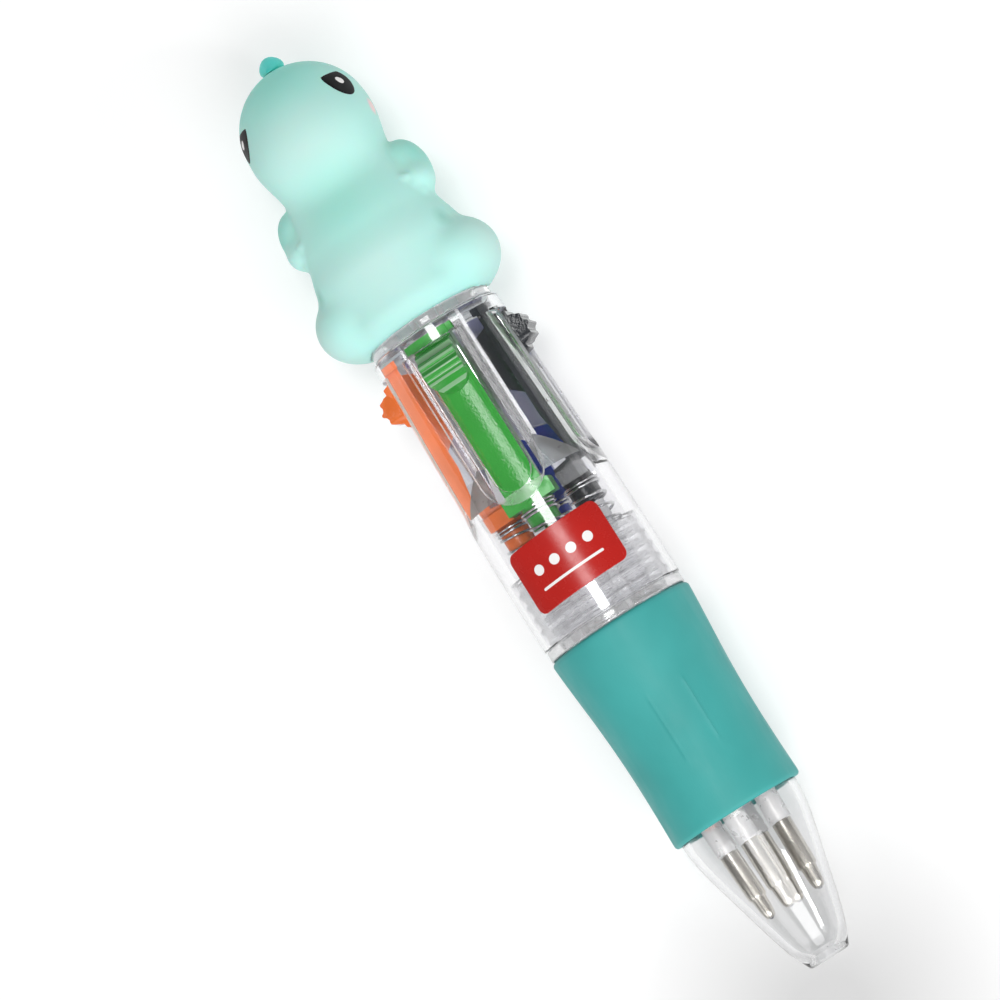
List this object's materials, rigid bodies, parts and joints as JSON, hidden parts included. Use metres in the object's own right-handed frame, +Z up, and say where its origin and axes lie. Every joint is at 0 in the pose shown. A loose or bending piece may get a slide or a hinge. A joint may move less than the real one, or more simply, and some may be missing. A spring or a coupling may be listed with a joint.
{
  "type": "multicolor click pen",
  "caption": "Clear plastic pen with thumb sliders that each push a coloured refill out of the nose, a rubber grip and a soft animal figure on top.",
  "frame": {"origin": "on the table under the middle of the pen, which lies on its back", "axes": "+X along the pen from the nose to the topper, +Z up out of the topper's face and the green slider, +Y to the orange slider"},
  "size_m": [0.12, 0.0234, 0.0211],
  "materials": {
    "clear_plastic": "clear, polished",
    "grip_rubber": "matte, soft",
    "label_film": "printed film, glossy",
    "topper_vinyl": "soft vinyl, satin",
    "crest_vinyl": "soft vinyl, satin",
    "spring_wire": "bright drawn wire",
    "tip_metal": "turned, nickel plated",
    "tube_plastic": "milky, translucent",
    "ball_metal": "polished",
    "plastic_green": "moulded, satin gloss",
    "plastic_black": "moulded, satin gloss",
    "plastic_blue": "moulded, satin gloss",
    "plastic_orange": "moulded, satin gloss",
    "ink_green": "wet ink",
    "ink_black": "wet ink",
    "ink_blue": "wet ink",
    "ink_orange": "wet ink"
  },
  "bodies": {
    "barrel": {"upper_barrel": "clear_plastic", "lower_barrel": "clear_plastic", "grip": "grip_rubber", "label": "label_film", "guide_plate": "clear_plastic", "slider_core": "clear_plastic", "end_cap": "clear_plastic", "topper_body": "topper_vinyl", "topper_crest": "crest_vinyl", "spring_green": "spring_wire", "spring_black": "spring_wire", "spring_blue": "spring_wire", "spring_orange": "spring_wire"},
    "slide_green": {"slider_green": "plastic_green"},
    "refill_green": {"refill_tube_green": "tube_plastic", "refill_tip_green": "tip_metal", "refill_ball_green": "ball_metal", "ink_green": "ink_green"},
    "slide_black": {"slider_black": "plastic_black"},
    "refill_black": {"refill_tube_black": "tube_plastic", "refill_tip_black": "tip_metal", "refill_ball_black": "ball_metal", "ink_black": "ink_black"},
    "slide_blue": {"slider_blue": "plastic_blue"},
    "refill_blue": {"refill_tube_blue": "tube_plastic", "refill_tip_blue": "tip_metal", "refill_ball_blue": "ball_metal", "ink_blue": "ink_blue"},
    "slide_orange": {"slider_orange": "plastic_orange"},
    "refill_orange": {"refill_tube_orange": "tube_plastic", "refill_tip_orange": "tip_metal", "refill_ball_orange": "ball_metal", "ink_orange": "ink_orange"}
  },
  "joints": [
    {"name": "press_green", "type": "slide", "parent": "barrel", "child": "slide_green", "axis": [-1, 0, 0], "range_m": [0, 0.01], "stiffness_N_per_m": 120, "springref_m": -0.008, "deforming": ["spring_green", "refill_tube_green", "ink_green", "refill_tip_green", "refill_ball_green"]},
    {"name": "flex_green", "type": "hinge", "parent": "slide_green", "child": "refill_green", "pos_m": [-0.005, 0, 0.0156], "axis": [0, -1, 0], "range_deg": [0, 4.35]},
    {"name": "press_black", "type": "slide", "parent": "barrel", "child": "slide_black", "axis": [-1, 0, 0], "range_m": [0, 0.01], "stiffness_N_per_m": 120, "springref_m": -0.008, "deforming": ["spring_black", "refill_tube_black", "ink_black", "refill_tip_black", "refill_ball_black"]},
    {"name": "flex_black", "type": "hinge", "parent": "slide_black", "child": "refill_black", "pos_m": [-0.005, -0.0046, 0.011], "axis": [0, 0, -1], "range_deg": [0, 4.35]},
    {"name": "press_blue", "type": "slide", "parent": "barrel", "child": "slide_blue", "axis": [-1, 0, 0], "range_m": [0, 0.01], "stiffness_N_per_m": 120, "springref_m": -0.008, "deforming": ["spring_blue", "refill_tube_blue", "ink_blue", "refill_tip_blue", "refill_ball_blue"]},
    {"name": "flex_blue", "type": "hinge", "parent": "slide_blue", "child": "refill_blue", "pos_m": [-0.005, 0, 0.0064], "axis": [0, 1, 0], "range_deg": [0, 4.35]},
    {"name": "press_orange", "type": "slide", "parent": "barrel", "child": "slide_orange", "axis": [-1, 0, 0], "range_m": [0, 0.01], "stiffness_N_per_m": 120, "springref_m": -0.008, "deforming": ["spring_orange", "refill_tube_orange", "ink_orange", "refill_tip_orange", "refill_ball_orange"]},
    {"name": "flex_orange", "type": "hinge", "parent": "slide_orange", "child": "refill_orange", "pos_m": [-0.005, 0.0046, 0.011], "axis": [0, 0, 1], "range_deg": [0, 4.35]}
  ],
  "couplings": [
    {"joint": "flex_green", "follows": "press_green", "rad_per_m": 7.4711},
    {"joint": "flex_black", "follows": "press_black", "rad_per_m": 7.4711},
    {"joint": "flex_blue", "follows": "press_blue", "rad_per_m": 7.4711},
    {"joint": "flex_orange", "follows": "press_orange", "rad_per_m": 7.4711}
  ]
}
